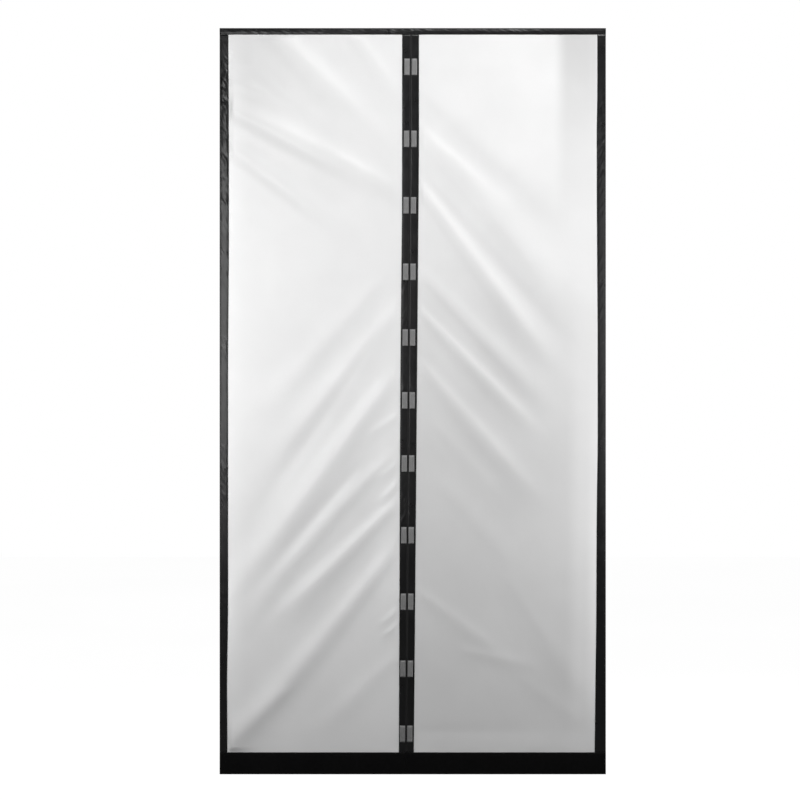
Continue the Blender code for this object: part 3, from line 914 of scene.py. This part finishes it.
class CURTAIN_OT_pockets(bpy.types.Operator):
    """Add the cloth pockets that hold the magnets on the seam tapes"""

    bl_idname = "curtain.pockets"
    bl_label = "Magnet pockets"
    bl_options = {"REGISTER", "UNDO"}

    def execute(self, context):
        for side_name in SIDES:
            for number in NUMBERS:
                cover = self.cover(side_name, number, context.scene.curtain_sizes)
                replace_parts(cover, f"{side_name}_magnet_pocket_{number}")
        return {"FINISHED"}

    def cover(self, side_name, number, sizes):
        """One cover: a flange sewn to the tape, sloping sides and a soft crown over the magnet."""
        low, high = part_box(f"{side_name}_magnet_pocket_{number}")
        rise = high.y - low.y - sizes.pocket_cloth
        across, up = (np.concatenate((-half[:0:-1], half)) for half in POCKET_STATIONS)
        edge_x, edge_z = MAGNET_EDGE
        height, uneven = POCKET_CROWN
        seed = (int(number) - 1) * 1.7 + (40 if side_name == "left" else 0)

        def place(column, down):
            x, z = across[column], -up[np.rint(down * (len(up) - 1)).astype(int)]
            raised = ease(np.minimum((edge_x + 0.0002 - abs(x)) / 0.001, (edge_z + 0.0002 - abs(z)) / 0.001))
            crown = np.clip((1 - (x / edge_x) ** 2) * (1 - (z / edge_z) ** 2), 0, 1)
            wobble = drift(np.column_stack((x * 240, z * 110)), seed)
            forward = raised * (rise + crown * (height + uneven * wobble)) + sizes.pocket_cloth
            return np.column_stack((x, -forward, z))

        bm = cloth_grid(len(across) - 1, len(up) - 1, place, POCKET_CUT)
        rubbed = bm.verts.layers.float.new("rubbed")
        # A painted highlight along the ridges where the cover turns down over the magnet's edges
        for v in bm.verts:
            edge = max(abs(v.co.x) / edge_x, abs(v.co.z) / edge_z)
            v[rubbed] = float(ease((edge - 0.78) / 0.16) * ease((1.12 - edge) / 0.1))
        bmesh.ops.transform(bm, matrix=pocket_place(side_name, number), verts=bm.verts)
        cover = finish_piece(f"{side_name}_pocket_{number}", bm, ("pocket_cloth",))
        thicken(cover, sizes.pocket_cloth)
        return cover


class CURTAIN_OT_magnets(bpy.types.Operator):
    """Give the bar magnets their sintered ferrite finish"""

    bl_idname = "curtain.magnets"
    bl_label = "Magnets"
    bl_options = {"REGISTER", "UNDO"}

    def execute(self, context):
        for side_name in SIDES:
            for number in NUMBERS:
                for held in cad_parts[f"{side_name}_magnet_{number}"].material_slots:
                    held.material = material("ferrite")
        return {"FINISHED"}


class CURTAIN_OT_strips(bpy.types.Operator):
    """Add the loop strips behind the tapes and the self-adhesive hook strips behind them"""

    bl_idname = "curtain.strips"
    bl_label = "Fastening strips"
    bl_options = {"REGISTER", "UNDO"}

    def execute(self, context):
        sizes = context.scene.curtain_sizes
        for where in ("header", "left", "right"):
            across, along = (2, 0) if where == "header" else (0, 2)
            for kind, make in (("loop", self.loop), ("hook", self.hook)):
                node = f"{where}_{kind}_strip"
                low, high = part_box(node)
                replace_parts(make(f"{where}_{kind}_fastener", low, high, across, along, sizes), node)
        return {"FINISHED"}

    def loop(self, name, low, high, across, along, sizes):
        """A woven ground with a bare selvedge, and a soft pile on the face that meets the hooks. across and
        along are the axes of a strip's width and length."""
        middle = (low + high) / 2
        short, long = high[across] - low[across], high[along] - low[along]
        bare = low.y + (high.y - low.y) * LOOP_GROUND
        rows = round(long / sizes.cloth_cell)

        def place(column, down):
            aside, run = LOOP_STATIONS[column] * short / 2, (down - 0.5) * long
            room = np.minimum(short / 2 - abs(aside), long / 2 - abs(run)) - LOOP_SELVEDGE
            pile = ease(room / 0.0004 + 1) * (high.y - bare)
            tufts = TUFT * (1 + drift(np.column_stack((aside * 420, run * 420)), 7))
            points = np.empty((len(run), 3))
            points[:, across], points[:, along] = middle[across] + aside, middle[along] + run
            points[:, 1] = bare + np.maximum(pile - tufts, 0)
            return points

        bm = cloth_grid(len(LOOP_STATIONS) - 1, rows, place, (short, long))
        for face in bm.faces:
            face.material_index = int(max(v.co.y for v in face.verts) > bare + 0.0001)
        ground = bmesh.ops.extrude_face_region(bm, geom=bm.faces[:], use_keep_orig=True)["geom"]
        for v in (item for item in ground if isinstance(item, bmesh.types.BMVert)):
            v.co.y = low.y
        for face in (item for item in ground if isinstance(item, bmesh.types.BMFace)):
            face.material_index = 0
        bmesh.ops.recalc_face_normals(bm, faces=bm.faces)
        piece = finish_piece(name, bm, ("binding_tape", "loop_pile"))
        return piece

    def hook(self, name, low, high, across, along, sizes):
        """A moulded strip: a thin base, rows of hooks on its face and adhesive on its back."""
        back, face = high.y - sizes.adhesive, high.y - sizes.adhesive - HOOK_BASE
        bm = bmesh.new()
        slab(bm, Vector((low.x, face, low.z)), Vector((high.x, back, high.z)), 0.00010)
        rows = int((high[across] - low[across] - 2 * HOOK_MARGIN) / sizes.hook_row)
        for row in range(rows + 1):
            middle = (low[across] + high[across]) / 2 + (row - rows / 2) * sizes.hook_row
            for half, top, foot in ((HOOK_STEM, face, low.y + 0.0001),
                                    (HOOK_HEAD, low.y + HEAD_DEPTH, low.y)):
                start, end = low.copy(), high.copy()
                start[across], end[across] = middle - half, middle + half
                start[along], end[along] = low[along] + ROW_END, high[along] - ROW_END
                start.y, end.y = foot, top
                slab(bm, start, end, 0.00005)
        bonded = slab(bm, Vector((low.x + ADHESIVE_INSET, back, low.z + ADHESIVE_INSET)),
                      Vector((high.x - ADHESIVE_INSET, high.y, high.z - ADHESIVE_INSET)), 0.00008)
        for part in {side for face in bonded for v in face.verts for side in v.link_faces}:
            part.material_index = 1
        return finish_piece(name, bm, ("hook_plastic", "adhesive"), smooth=False)


class CURTAIN_OT_stitching(bpy.types.Operator):
    """Add the stitches through the tapes, hems and magnet pockets"""

    bl_idname = "curtain.stitching"
    bl_label = "Stitching"
    bl_options = {"REGISTER", "UNDO"}

    def execute(self, context):
        sizes = context.scene.curtain_sizes
        rows = (HEADER_HIGH.z - BEND - ROW_INSET, HEADER_LOW.z + ROW_INSET)
        self.level("header_stitching", "tape", HEADER_LOW.x, HEADER_HIGH.x, rows, (STITCH_FRONT,), sizes)
        for side_name in SIDES:
            self.upright(f"{side_name}_edge_tape", sizes)
            self.upright(f"{side_name}_seam_tape", sizes)
            (low, high, top), _ = upright_ends(f"{side_name}_hem_band")
            rows, depths = [top - from_raw for from_raw in HEM_ROWS], (STITCH_FRONT, STITCH_BACK)
            self.level(f"{side_name}_hem_stitching", "hem", low, high, rows, depths, sizes)
            self.pockets(side_name, sizes)
        return {"FINISHED"}

    def level(self, name, slot, low, high, rows, depths, sizes):
        """Level rows, each at its height and at each of the depths."""
        bm = bmesh.new()
        for z in rows:
            for depth in depths:
                stitch_row(bm, (low + ROW_END, depth, z), (high - ROW_END, depth, z), sizes)
        finish_piece(name, bm, ("sewing_thread",))

    def upright(self, node, sizes):
        """The rows of an upright tape: two through an edge tape's front, one through a seam tape."""
        (_, _, top), (_, _, foot) = upright_ends(node)
        ends = np.array((top - ROW_END, foot + ROW_END))
        fold, raw = tape_edges(node, ends)
        inward = np.sign(raw[0] - fold[0])
        width = abs(raw[0] - fold[0]) - wander(node, ends)[0]
        seam = "seam" in node
        bm = bmesh.new()
        for from_fold in (width - ROW_INSET,) if seam else (BEND + ROW_INSET, width - ROW_INSET):
            x = fold + inward * from_fold

            def follow(height, share=from_fold / width):
                return inward * share * wander(node, height)

            for depth in (STITCH_FRONT, STITCH_BACK) if seam else (STITCH_FRONT,):
                stitch_row(bm, (x[0], depth, ends[0]), (x[1], depth, ends[1]), sizes, follow)
        finish_piece(node.replace("tape", "stitching"), bm, ("sewing_thread",))

    def pockets(self, side_name, sizes):
        """A running stitch down both sides of each pocket, and close bar stitches across its ends."""
        bm = bmesh.new()
        face = -sizes.pocket_cloth - 0.00005
        count, apart, out, long = BAR_STITCHES
        for number in NUMBERS:
            turn = pocket_place(side_name, number)
            for edge in (-1, 1):
                ends = (Vector((edge * POCKET_ROW, face, z)) for z in (MAGNET_EDGE[1], -MAGNET_EDGE[1]))
                stitch_row(bm, *(turn @ end for end in ends), sizes)
                for across in range(-count, count + 1):
                    stitch(bm, turn @ Vector((across * apart, face, edge * out)),
                           turn.to_3x3() @ Vector((0, 0, 1)), sizes.thread, long)
        finish_piece(f"{side_name}_pocket_stitching", bm, ("pocket_thread",))


class CURTAIN_OT_film(bpy.types.Operator):
    """Add the two leaves of frosted film, hung from the header with their folds and puckers"""

    bl_idname = "curtain.film"
    bl_label = "Film leaves"
    bl_options = {"REGISTER", "UNDO"}

    def execute(self, context):
        for side_name in SIDES:
            self.leaf(side_name, context.scene.curtain_sizes)
        return {"FINISHED"}

    def leaf(self, side_name, sizes):
        node = f"{side_name}_film_leaf"
        (top_low, top_high, top), (foot_low, foot_high, foot) = upright_ends(node)
        pane_top = HEADER_LOW.z - PANE_BORDER
        pane_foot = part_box(f"{side_name}_hem_band")[1].z + PANE_BORDER
        kinds = ("edge", "seam") if side_name == "left" else ("seam", "edge")
        left_tape, right_tape = (f"{side_name}_{kind}_tape" for kind in kinds)
        rows = round((pane_top - pane_foot) / sizes.film_cell)
        columns = round((top_high - top_low - TAPES_COVER) / sizes.film_cell)
        heights = np.concatenate(((top,), np.linspace(pane_top, pane_foot, rows + 1), (foot,)))

        def pane(z):
            return (tape_edges(left_tape, z)[1] + PANE_BORDER, tape_edges(right_tape, z)[1] - PANE_BORDER,
                    pane_top, pane_foot)

        def place(column, down):
            z = heights[np.rint(down * (rows + 2)).astype(int)]
            level = (top - z) / (top - foot)
            outer_low = top_low + (foot_low - top_low) * level
            outer_high = top_high + (foot_high - top_high) * level
            low, high = pane(z)[:2]
            x = low + (high - low) * (column - 1) / columns
            x = np.where(column == 0, outer_low, np.where(column == columns + 2, outer_high, x))
            rise = self.rise(side_name, x, z, pane(z))
            return np.column_stack((x, TAPE_MIDDLE - sizes.film_thickness / 2 - rise, z))

        bm = cloth_grid(columns + 2, rows + 2, place, (top_high - top_low, top - foot))
        # Painted light and shade: a factor on the film's colour at each point, from the painted patches and
        # the painted highlight line
        cloud = bm.verts.layers.float.new("cloud")
        points = np.array([v.co for v in bm.verts])
        for v, value in zip(bm.verts, self.cloud(side_name, points[:, 0], points[:, 2], pane(points[:, 2]))):
            v[cloud] = value
        film = finish_piece(f"{side_name}_film", bm, ("frosted_film",))
        thicken(film, sizes.film_thickness)
        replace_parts(film, node)

    def cloud(self, side_name, x, z, pane):
        """How much paler or darker the film is painted: broad patches of painted light and shade, and a
        painted highlight line beside the outer tape and the header.
        """
        low, high, top, foot = pane
        across, down = (x - low) / (high - low), np.clip((top - z) / (top - foot), 0, 1)
        paler = sum(ease((across - start) / run) * level_at(levels, down)
                    for start, run, levels in FILM_PAINTED_SHADING[side_name])
        outer = x - low if side_name == "left" else high - x
        # A painted highlight: a paler line beside the outer tape and the header, fading out towards the foot
        strength, reach = PAINTED_EDGE_HIGHLIGHT
        line = strength * (1 - ease(np.minimum(outer, top - z) / reach))
        return paler + line * (1 - ease((down - 0.6) / 0.3))

    def rise(self, side_name, x, z, pane):
        """How far the film stands forward: its folds, shallow crumples and the puckers along its edges."""
        sizes = bpy.context.scene.curtain_sizes
        low, high, top, foot = pane
        seed = 11 if side_name == "left" else 23
        folds = fold_rise(FILM_FOLDS[side_name], (np.median(low), np.median(high), top, foot), x, z)
        crumple = drift(np.column_stack((x * 13, z * 9)), seed) + 0.4 * drift(
            np.column_stack((x * 34 + z * 20, z * 12)), seed + 2)
        sides, ends = np.minimum(x - low, high - x), np.minimum(top - z, z - foot)
        near = np.minimum(sides, ends)
        ripple = drift(np.column_stack((x * 30 + np.where(ends < sides, x * 70, 0),
                                        z * 22 + np.where(ends < sides, 0, z * 60))), seed + 4)
        pucker = (0.3 + ripple) * np.exp(-near / PUCKER_REACH)
        rise = folds + sizes.film_crumple * crumple + sizes.film_pucker * pucker
        return np.clip(rise, -FILM_SINK, None) * ease(sides / FILM_EASE) * ease(ends / FILM_EASE)


class CURTAIN_OT_stage(bpy.types.Operator):
    """Add the floor, the soft studio lamps, the world and the camera"""

    bl_idname = "curtain.stage"
    bl_label = "Stage"
    bl_options = {"REGISTER", "UNDO"}

    # Lamp: place, what it faces, width, height, power
    LAMPS = {
        "front_left_softbox": ((-0.70, -1.80, -0.63), (0, 0, -1.0), 0.50, 1.40, 11.8),
        "front_right_softbox": ((0.93, -1.80, -0.74), (0, 0, -1.0), 0.50, 1.23, 3.8),
        "overhead_softbox": ((0.43, -1.22, 0.86), (0, 0, -0.9), 1.00, 0.50, 14.2),
        "top_strip_box": ((0.40, -0.35, 0.90), (0, 0, -0.9), 1.20, 0.30, 9.0),
        "left_strip_box": ((-1.10, -0.40, -1.00), (0, 0, -1.0), 0.50, 1.40, 6.4),
        "right_strip_box": ((1.10, -0.40, -1.00), (0, 0, -1.0), 0.50, 1.40, 6.4),
    }

    # How far the camera stands aside from the curtain's middle, and above it
    CAMERA_ASIDE, CAMERA_ABOVE = -0.0360, 0.0034

    def execute(self, context):
        scene = context.scene
        scene.view_settings.view_transform = "Standard"
        low, high = CAD_BOX
        for name, (place, aim, width, height, power) in self.LAMPS.items():
            lamp = bpy.data.lights.new(name, "AREA")
            lamp.shape, lamp.size, lamp.size_y, lamp.energy = "RECTANGLE", width, height, power
            holder = bpy.data.objects.new(name, lamp)
            holder.location = place
            holder.rotation_euler = (Vector(aim) - Vector(place)).to_track_quat("-Z", "Y").to_euler()
            holder.visible_camera = False
            scene.collection.objects.link(holder)
        self.floor(scene, low.z - scene.curtain_sizes.floor_gap)
        self.world(scene)
        self.camera(scene, (low.z + high.z) / 2 + self.CAMERA_ABOVE)
        return {"FINISHED"}

    def floor(self, scene, level):
        """A pale floor that looks white and still shows the curtain's shadow."""
        bm = bmesh.new()
        bmesh.ops.create_grid(bm, x_segments=1, y_segments=1, size=9)
        bmesh.ops.translate(bm, vec=(0, 0, level), verts=bm.verts)
        mesh = bpy.data.meshes.new("floor")
        bm.to_mesh(mesh)
        bm.free()
        floor = bpy.data.objects.new("floor", mesh)
        scene.collection.objects.link(floor)
        pale = bpy.data.materials.new("pale_floor")
        pale.use_nodes = True
        tree = pale.node_tree
        surface = tree.nodes["Principled BSDF"]
        surface.inputs["Roughness"].default_value = 0.9
        surface.inputs["Specular IOR Level"].default_value = 0.0
        where = add(tree, "ShaderNodeTexCoord").outputs["Object"]
        cloud = mottle(tree, where, 1.5, 2.0)
        base = mix_colours(tree, cloud["Patches"], (0.15, 0.15, 0.15, 1), (0.17, 0.17, 0.17, 1))
        tree.links.new(base, surface.inputs["Base Color"])
        depth = add(tree, "ShaderNodeSeparateXYZ", {0: where}).outputs["Y"]
        white = seen(tree, between(tree, depth, 0.0, 1.0, end=0.3))
        strength = math_node(tree, "MULTIPLY", white, scene.curtain_studio.floor_glow)
        glow = add(tree, "ShaderNodeEmission", {"Color": (1, 1, 1, 1), "Strength": strength}).outputs[0]
        both = add(tree, "ShaderNodeAddShader", {0: surface.outputs[0], 1: glow}).outputs[0]
        tree.links.new(both, tree.nodes["Material Output"].inputs["Surface"])
        mesh.materials.append(pale)

    def world(self, scene):
        """A plain room, brighter behind the curtain, with a white backdrop all round for the camera."""
        studio = scene.curtain_studio
        world = bpy.data.worlds.new("studio")
        world.use_nodes = True
        scene.world = world
        tree = world.node_tree
        room = tree.nodes["Background"]
        direction = add(tree, "ShaderNodeTexCoord").outputs["Generated"]
        toward = add(tree, "ShaderNodeSeparateXYZ", {0: direction}).outputs["Y"]
        behind = between(tree, toward, 0.0, 1.0, -0.05, 0.25, "SMOOTHSTEP")
        tree.links.new(between(tree, behind, studio.front_fill, studio.rear_fill), room.inputs["Strength"])
        backdrop = add(tree, "ShaderNodeBackground", {"Color": (1, 1, 1, 1), "Strength": 1.0}).outputs[0]
        room.inputs["Color"].default_value = (1, 1, 1, 1)
        both = add(tree, "ShaderNodeMixShader", {0: seen(tree, behind), 1: room.outputs[0], 2: backdrop})
        tree.links.new(both.outputs[0], tree.nodes["World Output"].inputs["Surface"])

    def camera(self, scene, height):
        """A camera straight in front, a little to the left of the curtain's middle."""
        studio = scene.curtain_studio
        data = bpy.data.cameras.new("camera")
        data.type = "PERSP"
        data.lens = studio.lens * 1000
        data.sensor_width = 36
        distance = studio.view_width * data.lens / data.sensor_width
        camera = bpy.data.objects.new("camera", data)
        camera.location = (self.CAMERA_ASIDE, TAPE_FRONT - distance, height)
        camera.rotation_euler = (math.pi / 2, 0, 0)
        scene.collection.objects.link(camera)
        scene.camera = camera


class CURTAIN_PT_panel(bpy.types.Panel):
    """The curtain's sizes, colours and pieces"""

    bl_idname = "CURTAIN_PT_panel"
    bl_label = "Magnetic Door Curtain"
    bl_space_type = "VIEW_3D"
    bl_region_type = "UI"
    bl_category = "Curtain"

    def draw(self, context):
        layout = self.layout
        layout.use_property_split = True
        for title, held in (("Sizes", "curtain_sizes"), ("Colours", "curtain_colours"),
                            ("Studio", "curtain_studio")):
            box = layout.box()
            box.label(text=title)
            settings = getattr(context.scene, held)
            for setting in settings.__annotations__:
                box.prop(settings, setting)
        column = layout.column(align=True)
        for operator in OPERATORS:
            column.operator(operator.bl_idname)


OPERATORS = (
    CURTAIN_OT_tapes,
    CURTAIN_OT_hems,
    CURTAIN_OT_magnets,
    CURTAIN_OT_pockets,
    CURTAIN_OT_strips,
    CURTAIN_OT_stitching,
    CURTAIN_OT_film,
    CURTAIN_OT_stage,
)
CLASSES = (CurtainSizes, CurtainColours, CurtainStudio, *OPERATORS, CURTAIN_PT_panel)
SETTINGS = {
    "curtain_sizes": CurtainSizes,
    "curtain_colours": CurtainColours,
    "curtain_studio": CurtainStudio,
}


def register():
    for made in CLASSES:
        bpy.utils.register_class(made)
    for name, settings in SETTINGS.items():
        setattr(bpy.types.Scene, name, PointerProperty(type=settings))


def unregister():
    for name in SETTINGS:
        delattr(bpy.types.Scene, name)
    for made in reversed(CLASSES):
        bpy.utils.unregister_class(made)


def main():
    register()
    bpy.ops.curtain.tapes()
    bpy.ops.curtain.hems()
    bpy.ops.curtain.magnets()
    bpy.ops.curtain.pockets()
    bpy.ops.curtain.strips()
    bpy.ops.curtain.stitching()
    bpy.ops.curtain.film()
    bpy.ops.curtain.stage()


if __name__ == "__main__":
    main()
